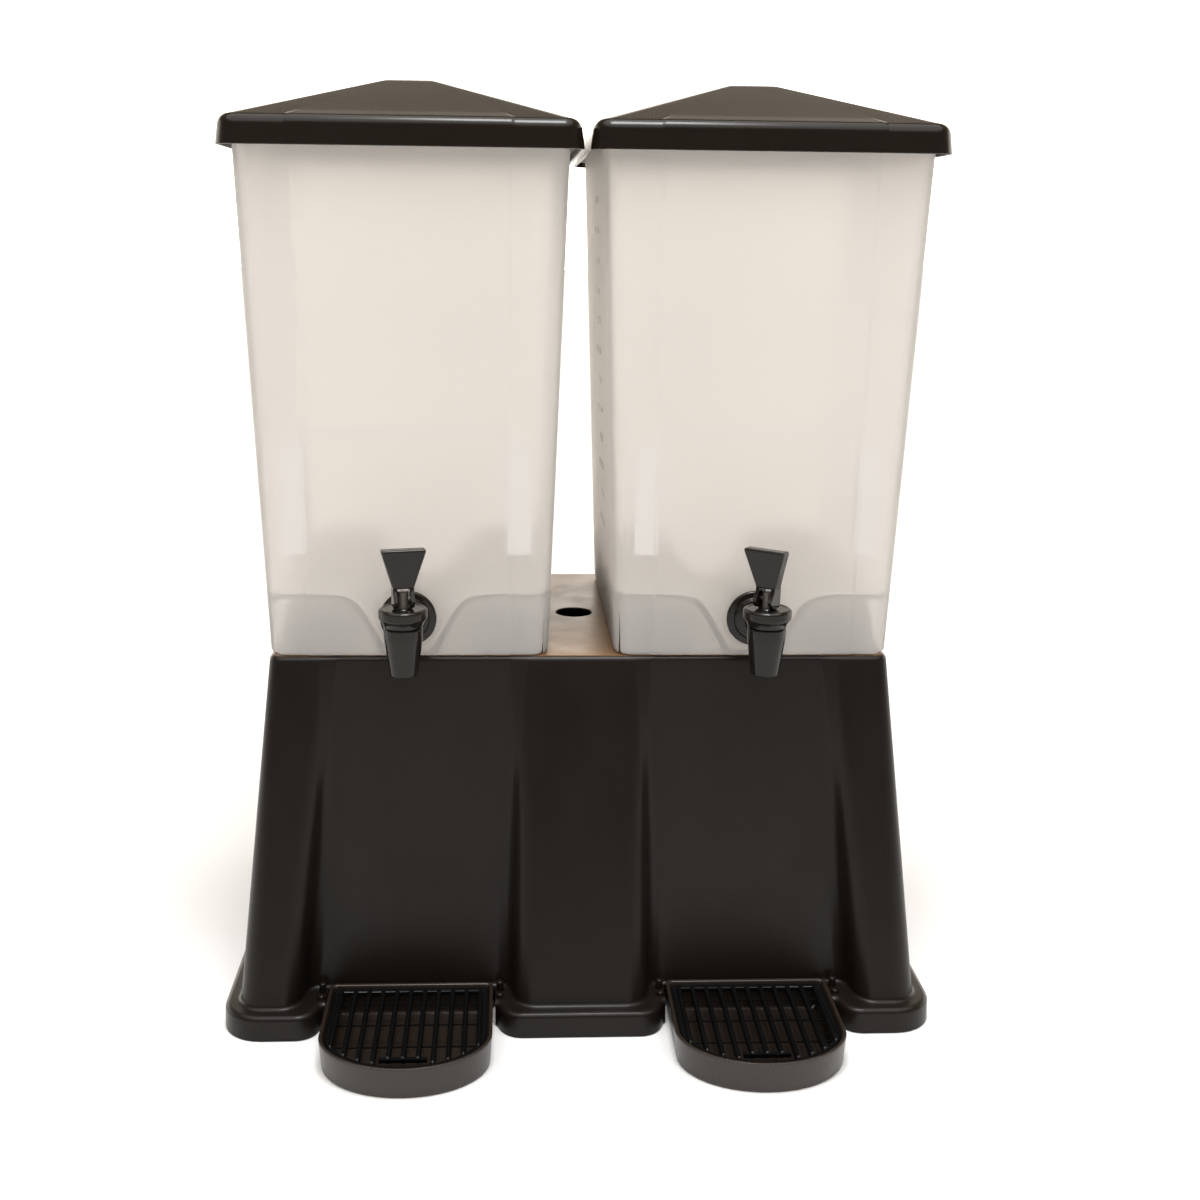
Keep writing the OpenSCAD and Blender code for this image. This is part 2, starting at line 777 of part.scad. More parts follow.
tank_place(-1) tank();  // left_tank
tank_place(-1) lid();  // left_lid
tank_place(-1) drip_tray();  // left_drip_tray
tank_place(-1) drip_grid();  // left_drip_grid
faucet_place(-1) faucet_body();  // left_faucet_body
faucet_place(-1) bonnet();  // left_bonnet
handle_place(-1) stem();  // left_stem
faucet_place(-1) seat_cup();  // left_seat_cup
faucet_place(-1) valve_spring();  // left_valve_spring
handle_place(-1) handle();  // left_handle
handle_place(-1) handle_pin();  // left_handle_pin
faucet_place(-1) outer_washer();  // left_outer_washer
faucet_place(-1) inner_washer();  // left_inner_washer
faucet_place(-1) shank_nut();  // left_shank_nut

tank_place(1) tank();  // right_tank
tank_place(1) lid();  // right_lid
tank_place(1) drip_tray();  // right_drip_tray
tank_place(1) drip_grid();  // right_drip_grid
faucet_place(1) faucet_body();  // right_faucet_body
faucet_place(1) bonnet();  // right_bonnet
handle_place(1) stem();  // right_stem
faucet_place(1) seat_cup();  // right_seat_cup
faucet_place(1) valve_spring();  // right_valve_spring
handle_place(1) handle();  // right_handle
handle_place(1) handle_pin();  // right_handle_pin
faucet_place(1) outer_washer();  // right_outer_washer
faucet_place(1) inner_washer();  // right_inner_washer
faucet_place(1) shank_nut();  // right_shank_nut
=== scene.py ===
import math

import bmesh
import bpy
from mathutils import Matrix, Vector


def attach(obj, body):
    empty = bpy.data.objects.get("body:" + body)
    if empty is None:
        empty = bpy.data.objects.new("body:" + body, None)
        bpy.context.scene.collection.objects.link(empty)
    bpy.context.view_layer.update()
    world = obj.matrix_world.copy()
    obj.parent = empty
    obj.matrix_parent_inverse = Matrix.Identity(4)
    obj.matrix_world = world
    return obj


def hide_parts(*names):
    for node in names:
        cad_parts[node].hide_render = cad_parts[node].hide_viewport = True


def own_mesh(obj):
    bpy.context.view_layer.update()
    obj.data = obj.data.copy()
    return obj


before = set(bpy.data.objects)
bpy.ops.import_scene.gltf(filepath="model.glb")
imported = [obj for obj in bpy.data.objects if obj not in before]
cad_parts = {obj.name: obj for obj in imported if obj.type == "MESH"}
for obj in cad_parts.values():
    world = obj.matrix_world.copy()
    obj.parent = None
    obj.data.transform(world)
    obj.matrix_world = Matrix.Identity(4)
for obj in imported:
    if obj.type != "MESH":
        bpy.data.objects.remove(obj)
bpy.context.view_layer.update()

# All shape sizes below are millimetres in the row's frame; meshes are scaled to metres when made.
MM = 0.001
SIDES = (("left", -1), ("right", 1))
ARC = 8               # steps of one rounded corner in plan
ROUND = 5             # steps of one rounded edge in section

# ---------- Camera ----------

CAM_POS = Vector((-0.0489, -0.9803, 0.5143))
CAM_YAW, CAM_PITCH, CAM_ROLL = 0.048, 0.2499, 0.012
CAM_LENS, CAM_SENSOR = 43.2, 36.0
CAM_SHIFT_X, CAM_SHIFT_Y = 0.0212, 0.0006

# ---------- Sizes ----------

DECK_Z, DECK_HALF = 243.0, 205.5
DECK_FRONT, DECK_BACK = -67.0, 173.0
FLANGE_H, FLANGE_HALF = 17.0, 237.0
FLANGE_FRONT, FLANGE_BACK = -132.5, 200.0
BASE_WALL = 3.5
TANK_X = 113.5
TANK_Z, RIM_Z = 243.2, 576.2
TANK_FRONT, TANK_BACK, RIM_BACK = -66.5, 171.5, 183.0
FOOT_HALF, RIM_HALF = 91.5, 103.5
TANK_WALL = 3.0
FLOOR_Z = TANK_Z + 41
LID_Z, BAND_Z, ROOF_Z = 563.7, 582.6, 610.2
LID_HALF, LID_FRONT, LID_BACK = 112.0, -75.0, 191.5
FLAT_HALF = 16.5
TRAY_FRONT, TRAY_BACK, TRAY_HALF, TRAY_H = -200.0, -95.5, 55.0, 21.0
SPOUT_Y, SHANK_Z = -115.5, 270.0
LEFT_TURN, RIGHT_TURN = 12.0, -36.0


# ---------- Outlines and lofts ----------

def mix(a, b, t):
    return a + (b - a) * t


def fillet(before, corner, after, steps=ARC):
    """Points of a rounded corner (x, y, radius) between its neighbours."""
    here = Vector(corner[:2])
    u = (Vector(before[:2]) - here).normalized()
    v = (Vector(after[:2]) - here).normalized()
    radius = max(corner[2], 0.05)
    half = u.angle(v) / 2
    centre = here + (u + v).normalized() * radius / math.sin(half)
    a = here + u * radius / math.tan(half) - centre
    b = here + v * radius / math.tan(half) - centre
    start = math.atan2(a.y, a.x)
    turn = (math.atan2(b.y, b.x) - start + math.pi) % (2 * math.pi) - math.pi
    angles = [start + turn * i / steps for i in range(steps + 1)]
    return [centre + radius * Vector((math.cos(angle), math.sin(angle))) for angle in angles]


def full_turn(steps):
    return [2 * math.pi * i / steps for i in range(steps)]


def outline(corners, steps=ARC):
    n = len(corners)
    return [p for i in range(n) for p in fillet(corners[i - 1], corners[i], corners[(i + 1) % n], steps)]


def both_sides(left):
    """A left half's corners and their mirror images, as one loop."""
    return left + [(-x, y, r) for x, y, r in reversed(left)]


def rectangle(half, front, back, radius, steps=ARC):
    return outline(both_sides([(-half, back, radius), (-half, front, radius)]), steps)


def skin(bm, loops, close_first=True, close_last=True):
    """Faces between closed loops of vertices that have the same number of vertices."""
    for low, high in zip(loops, loops[1:]):
        n = len(low)
        for i in range(n):
            j = (i + 1) % n
            bm.faces.new((low[i], low[j], high[j], high[i]))
    if close_first:
        bm.faces.new(list(reversed(loops[0])))
    if close_last:
        bm.faces.new(loops[-1])


def loft(bm, rings, close_first=True, close_last=True):
    """Skins a stack of [points, z] rings that have the same number of points."""
    loops = [[bm.verts.new((p.x * MM, p.y * MM, z * MM)) for p in points] for points, z in rings]
    skin(bm, loops, close_first, close_last)


def edge_round(radius, z, up=True, steps=ROUND):
    """(inset, height) pairs of a quarter round that ends, or starts, on a horizontal face at z."""
    pairs = []
    for i in range(steps + 1):
        a = math.pi / 2 * i / steps
        if up:
            pairs.append((radius * (1 - math.cos(a)), z - radius + radius * math.sin(a)))
        else:
            pairs.append((radius * (1 - math.sin(a)), z + radius * (1 - math.cos(a))))
    return pairs


def lathe(bm, profile, steps=64):
    """Turns (radius, height) pairs about Z; a pair with radius 0 closes the end."""
    loops = []
    for r, z in profile:
        if r < 1e-6:
            loops.append([bm.verts.new((0, 0, z * MM))])
        else:
            loops.append([bm.verts.new((r * MM * math.cos(a), r * MM * math.sin(a), z * MM))
                          for a in full_turn(steps)])
    for low, high in zip(loops, loops[1:]):
        for i in range(steps):
            j = (i + 1) % steps
            face = [low[i % len(low)], low[j % len(low)], high[j % len(high)], high[i % len(high)]]
            face = [v for k, v in enumerate(face) if v not in face[:k]]
            if len(face) > 2:
                bm.faces.new(face)
    return bm


def round_profile(points, steps=4):
    """Rounds the inner corners of an open (a, b, radius) profile, and returns (a, b) pairs."""
    out = [points[0][:2]]
    for before, corner, after in zip(points, points[1:], points[2:]):
        if corner[2] > 0:
            out += [tuple(p) for p in fillet(before, corner, after, steps)]
        else:
            out.append(corner[:2])
    return out + [points[-1][:2]]


def turned(bm, points, steps=64):
    return lathe(bm, round_profile(points), steps)


SHARP = math.radians(40)


def make(name, bm, material, place=None, sharp=SHARP):
    """A finished object from a bmesh: outward faces, smooth but for its sharp edges."""
    bmesh.ops.remove_doubles(bm, verts=bm.verts, dist=1e-7)
    bmesh.ops.recalc_face_normals(bm, faces=bm.faces)
    mesh = bpy.data.meshes.new(name)
    bm.to_mesh(mesh)
    bm.free()
    if place is not None:
        mesh.transform(place)
    mesh.shade_smooth()
    mesh.set_sharp_from_angle(angle=sharp)
    mesh.materials.append(material)
    obj = bpy.data.objects.new(name, mesh)
    bpy.context.scene.collection.objects.link(obj)
    return obj


def even_shading(obj):
    """Keeps large faces flat where they meet small rounded edges."""
    mod = obj.modifiers.new("even shading", "WEIGHTED_NORMAL")
    mod.keep_sharp = True
    mod.weight = 100
    return obj


def cut(obj, tools):
    """Subtracts meshes from obj and leaves the result in its mesh."""
    for tool in tools:
        mod = obj.modifiers.new("cut", "BOOLEAN")
        mod.operation = "DIFFERENCE"
        mod.solver = "EXACT"
        mod.object = tool
    bpy.context.view_layer.update()
    done = bpy.data.meshes.new_from_object(obj.evaluated_get(bpy.context.evaluated_depsgraph_get()))
    obj.modifiers.clear()
    obj.data = done
    done.shade_smooth()
    done.set_sharp_from_angle(angle=SHARP)
    for tool in tools:
        bpy.data.objects.remove(tool)
    return obj


def block(bm, low, high):
    low, high = Vector(low) * MM, Vector(high) * MM
    made = bmesh.ops.create_cube(bm, size=1, matrix=Matrix.Translation((low + high) / 2)
                                 @ Matrix.Diagonal((*(high - low), 1)))
    return made["verts"]


def finish_piece(obj, body, node):
    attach(obj, body)
    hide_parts(node)
    return obj


# ---------- Materials ----------

def new_material(name):
    mat = bpy.data.materials.new(name)
    mat.use_nodes = True
    return mat, mat.node_tree, mat.node_tree.nodes["Principled BSDF"]


def object_noise(tree, scale, detail, roughness=0.5, stretch=(1, 1, 1)):
    """Noise that is fixed to the object."""
    where = tree.nodes.new("ShaderNodeTexCoord")
    mapping = tree.nodes.new("ShaderNodeMapping")
    mapping.inputs["Scale"].default_value = stretch
    noise = tree.nodes.new("ShaderNodeTexNoise")
    noise.inputs["Scale"].default_value = scale
    noise.inputs["Detail"].default_value = detail
    noise.inputs["Roughness"].default_value = roughness
    tree.links.new(where.outputs["Object"], mapping.inputs["Vector"])
    tree.links.new(mapping.outputs["Vector"], noise.inputs["Vector"])
    return noise.outputs["Fac"]


def ramp(tree, fac, stops):
    """A colour or grey ramp through (position, value) stops."""
    node = tree.nodes.new("ShaderNodeValToRGB")
    while len(node.color_ramp.elements) < len(stops):
        node.color_ramp.elements.new(0.5)
    for element, (position, value) in zip(node.color_ramp.elements, stops):
        element.position = position
        element.color = (*value, 1) if isinstance(value, tuple) else (value, value, value, 1)
    tree.links.new(fac, node.inputs["Fac"])
    return node.outputs["Color"]


def bumped(tree, bsdf, height, strength, distance):
    bump = tree.nodes.new("ShaderNodeBump")
    bump.inputs["Strength"].default_value = strength
    bump.inputs["Distance"].default_value = distance
    tree.links.new(height, bump.inputs["Height"])
    tree.links.new(bump.outputs["Normal"], bsdf.inputs["Normal"])


def moulded(name, dark, light, gloss, grain=0.12, grain_scale=900, coat=0.0, ior=1.5):
    """Moulded plastic: slow changes of colour and gloss, and a fine grain."""
    mat, tree, bsdf = new_material(name)
    slow = object_noise(tree, 7, 4)
    tree.links.new(ramp(tree, slow, [(0.35, dark), (0.65, light)]), bsdf.inputs["Base Color"])
    marks = object_noise(tree, 38, 6, 0.6, (1, 1, 0.4))
    tree.links.new(ramp(tree, marks, [(0.35, gloss[0]), (0.7, gloss[1])]), bsdf.inputs["Roughness"])
    bumped(tree, bsdf, object_noise(tree, grain_scale, 2), grain, 0.0002)
    bsdf.inputs["IOR"].default_value = ior
    bsdf.inputs["Coat Weight"].default_value = coat
    bsdf.inputs["Coat Roughness"].default_value = 0.06
    return mat


def warmer_above(mat, height, tone):
    """A warmer, paler colour at and above a height. It stands in for the bright room that the
    deck mirrors in the photo; the real deck is most likely the stand's own dark plastic."""
    tree, bsdf = mat.node_tree, mat.node_tree.nodes["Principled BSDF"]
    where = tree.nodes.new("ShaderNodeTexCoord")
    split = tree.nodes.new("ShaderNodeSeparateXYZ")
    above = tree.nodes.new("ShaderNodeMapRange")
    above.inputs["From Min"].default_value = (height - 0.5) * MM
    above.inputs["From Max"].default_value = height * MM
    plain = bsdf.inputs["Base Color"].links[0].from_socket
    darker = tuple(0.8 * c for c in tone)
    warm = ramp(tree, object_noise(tree, 25, 5, 0.6), [(0.35, darker), (0.65, tone)])
    mixed = tree.nodes.new("ShaderNodeMix")
    mixed.data_type = "RGBA"
    tree.links.new(where.outputs["Object"], split.inputs["Vector"])
    tree.links.new(split.outputs["Z"], above.inputs["Value"])
    tree.links.new(above.outputs["Result"], mixed.inputs["Factor"])
    tree.links.new(plain, mixed.inputs["A"])
    tree.links.new(warm, mixed.inputs["B"])
    tree.links.new(mixed.outputs["Result"], bsdf.inputs["Base Color"])


def frosted(name, scatter, dark, light):
    """Translucent plastic wall: part of the light scatters back and the rest goes through, blurred."""
    mat, tree, bsdf = new_material(name)
    colour = ramp(tree, object_noise(tree, 5, 3), [(0.35, dark), (0.65, light)])
    tree.links.new(colour, bsdf.inputs["Base Color"])
    gloss = ramp(tree, object_noise(tree, 60, 5), [(0.3, 0.34), (0.7, 0.46)])
    tree.links.new(gloss, bsdf.inputs["Roughness"])
    bumped(tree, bsdf, object_noise(tree, 500, 3), 0.08, 0.0002)
    bsdf.inputs["IOR"].default_value = 1.4
    seen = tree.nodes.new("ShaderNodeBsdfRefraction")
    seen.inputs["Color"].default_value = (1.0, 0.99, 0.975, 1)
    seen.inputs["Roughness"].default_value = 0.4
    seen.inputs["IOR"].default_value = 1.12
    through = tree.nodes.new("ShaderNodeBsdfTranslucent")
    through.inputs["Color"].default_value = (1.0, 0.99, 0.975, 1)
    passed = tree.nodes.new("ShaderNodeMixShader")
    passed.inputs["Fac"].default_value = 0.42
    tree.links.new(seen.outputs["BSDF"], passed.inputs[1])
    tree.links.new(through.outputs["BSDF"], passed.inputs[2])
    mixed = tree.nodes.new("ShaderNodeMixShader")
    mixed.inputs["Fac"].default_value = 1 - scatter
    tree.links.new(bsdf.outputs["BSDF"], mixed.inputs[1])
    tree.links.new(passed.outputs["Shader"], mixed.inputs[2])
    tree.links.new(mixed.outputs["Shader"], tree.nodes["Material Output"].inputs["Surface"])
    return mat


def steel(name):
    mat, tree, bsdf = new_material(name)
    bsdf.inputs["Metallic"].default_value = 1
    bsdf.inputs["Base Color"].default_value = (0.6, 0.59, 0.57, 1)
    drawn = object_noise(tree, 300, 4, 0.6, (1, 1, 12))
    tree.links.new(ramp(tree, drawn, [(0.3, 0.2), (0.7, 0.4)]), bsdf.inputs["Roughness"])
    return mat


def rubber(name, tone):
    mat, tree, bsdf = new_material(name)
    dark = tuple(0.8 * c for c in tone)
    colour = ramp(tree, object_noise(tree, 40, 4), [(0.35, dark), (0.65, tone)])
    tree.links.new(colour, bsdf.inputs["Base Color"])
    bsdf.inputs["Roughness"].default_value = 0.7
    bumped(tree, bsdf, object_noise(tree, 1500, 2), 0.2, 0.0002)
    return mat


STAND_TONES = (0.0085, 0.0060, 0.0045), (0.0105, 0.0075, 0.0057)
# Painted reflection: a warm pale colour for the deck's top that stands in for the bright room mirrored there;
# the deck itself is most likely the stand's dark plastic
DECK_REFLECTION_TONE = (0.19, 0.105, 0.045)

base_plastic = moulded("base plastic", *STAND_TONES, (0.28, 0.4), ior=1.3)
stand_plastic_and_reflection = moulded("stand plastic and painted reflection", *STAND_TONES, (0.28, 0.4), ior=1.3)
# Paints that reflection onto the stand from the deck's height up; below it the stand keeps its dark plastic
warmer_above(stand_plastic_and_reflection, DECK_Z, DECK_REFLECTION_TONE)
lid_plastic = moulded("lid plastic", (0.0095, 0.0068, 0.0046), (0.0110, 0.0080, 0.0056), (0.20, 0.24),
                      grain=0.002, grain_scale=200, ior=1.32)
tray_plastic = moulded("tray plastic", (0.018, 0.012, 0.0085), (0.023, 0.016, 0.0115), (0.26, 0.38))
grid_plastic = moulded("grid plastic", (0.0026, 0.0027, 0.0030), (0.0038, 0.0040, 0.0043), (0.16, 0.28),
                       ior=1.32)
faucet_plastic = moulded("faucet plastic", (0.0090, 0.0070, 0.0055), (0.0120, 0.0095, 0.0075),
                         (0.10, 0.18), grain=0.02, grain_scale=300, ior=1.35)
stem_plastic = moulded("stem plastic", (0.075, 0.064, 0.053), (0.10, 0.086, 0.072), (0.2, 0.32),
                       grain=0.03, grain_scale=300, coat=0.2)
nut_plastic = moulded("nut plastic", (0.012, 0.011, 0.010), (0.016, 0.015, 0.014), (0.35, 0.5))
mark_plastic = moulded("mark plastic", (0.66, 0.62, 0.58), (0.72, 0.68, 0.64), (0.4, 0.5))
tank_plastic = frosted("tank plastic", 0.25, (0.92, 0.90, 0.88), (0.94, 0.92, 0.90))
strip_plastic = frosted("thick tank plastic", 0.8, (0.98, 0.96, 0.95), (0.99, 0.97, 0.96))
spring_steel = steel("spring steel")
washer_rubber = rubber("washer rubber", (0.012, 0.012, 0.012))
pad_rubber = rubber("pad rubber", (0.015, 0.015, 0.015))
silicone = rubber("silicone", (0.62, 0.57, 0.49))


# ---------- Base ----------

# Walls of the stand: each pair is a value at the counter and the same value at the deck
WALL_HALF = (FLANGE_HALF - 9, DECK_HALF)
WALL_BACK = (DECK_BACK + 19.5, DECK_BACK)
PILLAR_FACE = (DECK_FRONT - 59, DECK_FRONT - 0.6)
BAY_FACE = (DECK_FRONT - 27, DECK_FRONT)
SIDE_PILLAR, MIDDLE_PILLAR, PILLAR_SLOPE = (189, 172), (43, 35), (5, 12)
BACK_ROUND, FRONT_ROUND, PILLAR_ROUND, BAY_ROUND = (24, 10), (18, 9), (15, 12), (9, 12)


def wall_outline(z, inset):
    """The stand's walls at height z: two bays between three pillars, which fade out towards the deck."""
    k = z / DECK_Z
    half, pillar = mix(*WALL_HALF, k) - inset, mix(*PILLAR_FACE, k) + inset
    bay, slope = mix(*BAY_FACE, k) + inset, mix(*PILLAR_SLOPE, k)
    inner, middle = mix(*SIDE_PILLAR, k) + inset, mix(*MIDDLE_PILLAR, k) - inset
    pillar_round, bay_round = mix(*PILLAR_ROUND, k) - inset, mix(*BAY_ROUND, k)
    return outline(both_sides([
        (-half, mix(*WALL_BACK, k) - inset, mix(*BACK_ROUND, k) - inset),
        (-half, pillar, mix(*FRONT_ROUND, k) - inset),
        (-inner, pillar, pillar_round),
        (-inner + slope, bay, bay_round),
        (-middle - slope, bay, bay_round),
        (-middle, pillar, pillar_round),
    ]))


def flange_outline(inset):
    front, back, side = FLANGE_FRONT + inset, FLANGE_BACK - inset, FLANGE_HALF - inset
    bay = DECK_FRONT - 48 + inset
    outer, inner = TANK_X + TRAY_HALF, TANK_X - TRAY_HALF
    return outline(both_sides([
        (-side, back, 28 - inset),
        (-side, front, 27 - inset),
        (-outer - 9 - inset, front, 15 - inset),
        (-outer - 3 - inset, bay, 5),
        (-inner + 2 + inset, bay, 5),
        (-inner + 9 + inset, front, 16 - inset),
    ]))


def base_skin(bm):
    rings = [(wall_outline(DECK_Z, BASE_WALL), DECK_Z - BASE_WALL),
             (wall_outline(FLANGE_H, BASE_WALL), FLANGE_H - BASE_WALL),
             (flange_outline(BASE_WALL + 0.5), FLANGE_H - BASE_WALL),
             (flange_outline(BASE_WALL), 0),
             (flange_outline(0.8), 0),
             (flange_outline(0), 0.8)]
    rings += [(flange_outline(0.5 + inset), z) for inset, z in edge_round(3.6, FLANGE_H)]
    cove = 2.5
    for i in range(ROUND):
        a = math.pi / 2 * i / (ROUND - 1)
        z = FLANGE_H + cove * (1 - math.cos(a))
        rings.append((wall_outline(z, -cove * (1 - math.sin(a))), z))
    rings += [(wall_outline(z, 0), z) for z in range(30, 235, 25)]
    rings += [(wall_outline(z, inset), z) for inset, z in edge_round(3.2, DECK_Z)]
    loft(bm, rings)


def locating_blocks():
    """Rounded blocks on the deck, which stand in the pockets under the tanks."""
    bm = bmesh.new()
    near, far, front, back, height, edge = 40, 86, -61.5, 162, 33, 7
    for _, side in SIDES:
        for hand in (-1, 1):
            rings = []
            for inset, z in [(0, DECK_Z + 0.02), (2, DECK_Z + 18)] + \
                            [(3 + i * 0.8, z) for i, z in edge_round(edge, DECK_Z + height)]:
                points = outline([(near + inset, back - 2 * inset, 9), (near + inset, front + 3 * inset, 9),
                                  (far - inset, front + 3 * inset, 9), (far - inset, back - 2 * inset, 9)])
                rings.append(([Vector((side * TANK_X + hand * p.x, p.y)) for p in points], z))
            loft(bm, rings)
    obj = make("blocks", bm, base_plastic)
    even_shading(obj)
    finish_piece(obj, "base", "locating_blocks")


TRAY_GAP = 1.5        # between a tray's side and the flange's cut end


def guides(bm):
    """Round posts on the flange beside each tray."""
    post_r = 2.5
    for _, side in SIDES:
        for hand in (-1, 1):
            x = side * TANK_X + hand * (TRAY_HALF + 4.5)
            for y, top in ((DECK_FRONT - 41, FLANGE_H + 3), (DECK_FRONT - 32, FLANGE_H + 7)):
                rings = []
                for inset, z in [(0, FLANGE_H - 4)] + edge_round(1.4, top):
                    r = post_r - inset
                    points = [Vector((x + r * math.cos(a), y + r * math.sin(a))) for a in full_turn(24)]
                    rings.append((points, z))
                loft(bm, rings)


def cheeks(bm):
    """Plates that close the flange's cut ends beside each tray."""
    gap = TRAY_HALF + TRAY_GAP
    for _, side in SIDES:
        for hand in (-1, 1):
            xs = sorted((side * TANK_X + hand * gap, side * TANK_X + hand * (gap + 3)))
            block(bm, (xs[0], DECK_FRONT - 46, 0.5), (xs[1], DECK_FRONT - 22, FLANGE_H - 1.5))


def tool(name, low, high):
    bm = bmesh.new()
    block(bm, low, high)
    return make(name, bm, base_plastic)


HOLE_R, HOLE_Y, HOLE_FLARE = 13, 48, 1.06


def base():
    bm = bmesh.new()
    base_skin(bm)
    shell = make("stand", bm, stand_plastic_and_reflection)
    gap = TRAY_HALF + TRAY_GAP
    tools = []
    for _, side in SIDES:
        middle = side * TANK_X
        low, high = (middle - gap, FLANGE_FRONT - 10, -2), (middle + gap, DECK_FRONT - 28, FLANGE_H + 3)
        tools.append(tool("bay", low, high))
    bm = bmesh.new()
    hole = [Vector((HOLE_R * math.cos(a), HOLE_Y + HOLE_R * math.sin(a))) for a in full_turn(64)]
    rim = [Vector((p.x * HOLE_FLARE, HOLE_Y + (p.y - HOLE_Y) * HOLE_FLARE)) for p in hole]
    loft(bm, [(hole, DECK_Z - 10), (hole, DECK_Z - 0.8), (rim, DECK_Z + 0.05), (rim, DECK_Z + 5)])
    tools.append(make("deck hole", bm, base_plastic))
    cut(shell, tools)
    bm = bmesh.new()
    guides(bm)
    cheeks(bm)
    extras = make("stand_details", bm, base_plastic)
    for obj in (shell, extras):
        even_shading(obj)
    finish_piece(shell, "base", "base_shell")
    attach(extras, "base")


# ---------- Tanks ----------

def tank_half(z):
    return mix(FOOT_HALF, RIM_HALF, (z - TANK_Z) / (RIM_Z - TANK_Z))


def tank_back(z):
    return mix(TANK_BACK, RIM_BACK, (z - TANK_Z) / (RIM_Z - TANK_Z))


PANEL_HALF, PANEL_STEP = 66.0, 0.6


def tank_outline(z, inset, radius=12.0):
    front = TANK_FRONT + inset
    return outline(both_sides([
        (-tank_half(z) + inset, tank_back(z) - inset, max(radius - inset, 1)),
        (-tank_half(z) + inset, front, max(radius - inset, 1)),
        (-PANEL_HALF - 1.2, front, 0.5),
        (-PANEL_HALF + 1.2, front - PANEL_STEP, 0.5),
    ]))


def smooth_line(points, steps=4):
    """Catmull-Rom curve through points."""
    out = []
    padded = [points[0]] + list(points) + [points[-1]]
    for a, b, c, d in zip(padded, padded[1:], padded[2:], padded[3:]):
        for i in range(steps):
            t = i / steps
            out.append(tuple(0.5 * (2 * q + (r - p) * t + (2 * p - 5 * q + 4 * r - s) * t * t
                                    + (3 * q - p - 3 * r + s) * t ** 3) for p, q, r, s in zip(a, b, c, d)))
    return out + [tuple(points[-1])]


def prism_y(bm, section, y0, y1):
    """Extrudes a section of (x, z) points along Y."""
    front = [bm.verts.new((x * MM, y0 * MM, z * MM)) for x, z in section]
    back = [bm.verts.new((x * MM, y1 * MM, z * MM)) for x, z in section]
    skin(bm, [back, front])


def tank_tools():
    """What is cut from the solid tank: the inside, the drain channel and the pockets below."""
    tools = []
    bm = bmesh.new()
    levels = [(0.8, FLOOR_Z), (0.2, FLOOR_Z + 0.6), (0, FLOOR_Z + 2), (0, 400), (0, 500), (0, RIM_Z + 1)]
    rings = []
    for extra, z in levels:
        wall = TANK_WALL + extra
        rings.append((rectangle(tank_half(z) - wall, TANK_FRONT + wall, tank_back(z) - wall, 9), z))
    loft(bm, rings)
    tools.append(make("inside", bm, tank_plastic))
    low = TANK_Z + TANK_WALL + 0.3
    half = smooth_line([(14, low), (20.5, low + 11), (29, low + 26), (36, low + 34),
                        (44, FLOOR_Z - 0.8), (52, FLOOR_Z)])
    section = half + [(52, FLOOR_Z + 3), (-52, FLOOR_Z + 3)] + [(-x, z) for x, z in reversed(half)]
    bm = bmesh.new()
    prism_y(bm, section, TANK_FRONT + TANK_WALL, TANK_BACK - TANK_WALL)
    tools.append(make("channel", bm, tank_plastic))
    roof, side_wall, corner = FLOOR_Z - TANK_WALL, FOOT_HALF - TANK_WALL, 4
    inner = smooth_line([(18.5, TANK_Z - 1), (24, FLOOR_Z - 29), (33, FLOOR_Z - 14),
                         (40, FLOOR_Z - 6.5), (50, roof)])
    for hand in (-1, 1):
        section = inner + [(side_wall - corner, roof), (side_wall, roof - corner), (side_wall, TANK_Z - 1)]
        bm = bmesh.new()
        prism_y(bm, [(hand * x, z) for x, z in section], TANK_FRONT + TANK_WALL, TANK_BACK - TANK_WALL)
        tools.append(make("pocket", bm, tank_plastic))
    bm = bmesh.new()
    lathe(bm, [(0, -12), (8.2, -12), (8.2, 12), (0, 12)])
    turn = Matrix.Translation(Vector((0, TANK_FRONT, SHANK_Z)) * MM) @ Matrix.Rotation(math.pi / 2, 4, "X")
    tools.append(make("shank hole", bm, tank_plastic, turn))
    return tools


def tank(name, side):
    bm = bmesh.new()
    outer = [(tank_outline(z, inset), z) for inset, z in edge_round(3.2, TANK_Z, up=False)]
    outer += [(tank_outline(z, 0), z) for z in (300, 400, 500)]
    rim = [(0, 5.5), (-1.0, 3.4), (-2.4, 2.8), (-3.4, 3.6), (-3.9, 9), (-5.0, 9), (-5.0, 1.6),
           (-4.2, 0.3), (-3.2, 0)]
    outer += [(tank_outline(RIM_Z - drop, inset), RIM_Z - drop) for inset, drop in rim]
    loft(bm, outer)
    obj = make(f"{name}_tank_wall", bm, tank_plastic)
    cut(obj, tank_tools())
    even_shading(obj)
    obj.data.transform(Matrix.Translation((side * TANK_X * MM, 0, 0)))
    return finish_piece(obj, f"{name}_tank_body", f"{name}_tank")


def capacity_marks(name, side):
    """Raised marks on the left wall, with no figures."""
    bm = bmesh.new()
    first, pitch, count, high, proud, start = FLOOR_Z + 30, 20, 12, 4, 0.65, 14
    for i in range(count):
        z = first + i * pitch
        wall = side * TANK_X - tank_half(z)
        block(bm, (wall - proud, start, z), (wall + 0.2, start + (24 if i % 2 else 40), z + high))
    obj = make(f"{name}_capacity_marks", bm, mark_plastic)
    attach(obj, f"{name}_tank_body")


def plate(bm, half, low, high, front, back, radius):
    """An upright plate with rounded corners, about x = 0."""
    corners = [(-half, low, radius), (half, low, radius), (half, high, radius), (-half, high, radius)]
    points = outline(corners, 6)
    section = [(p.x, p.y) for p in points]
    prism_y(bm, section, front, back)


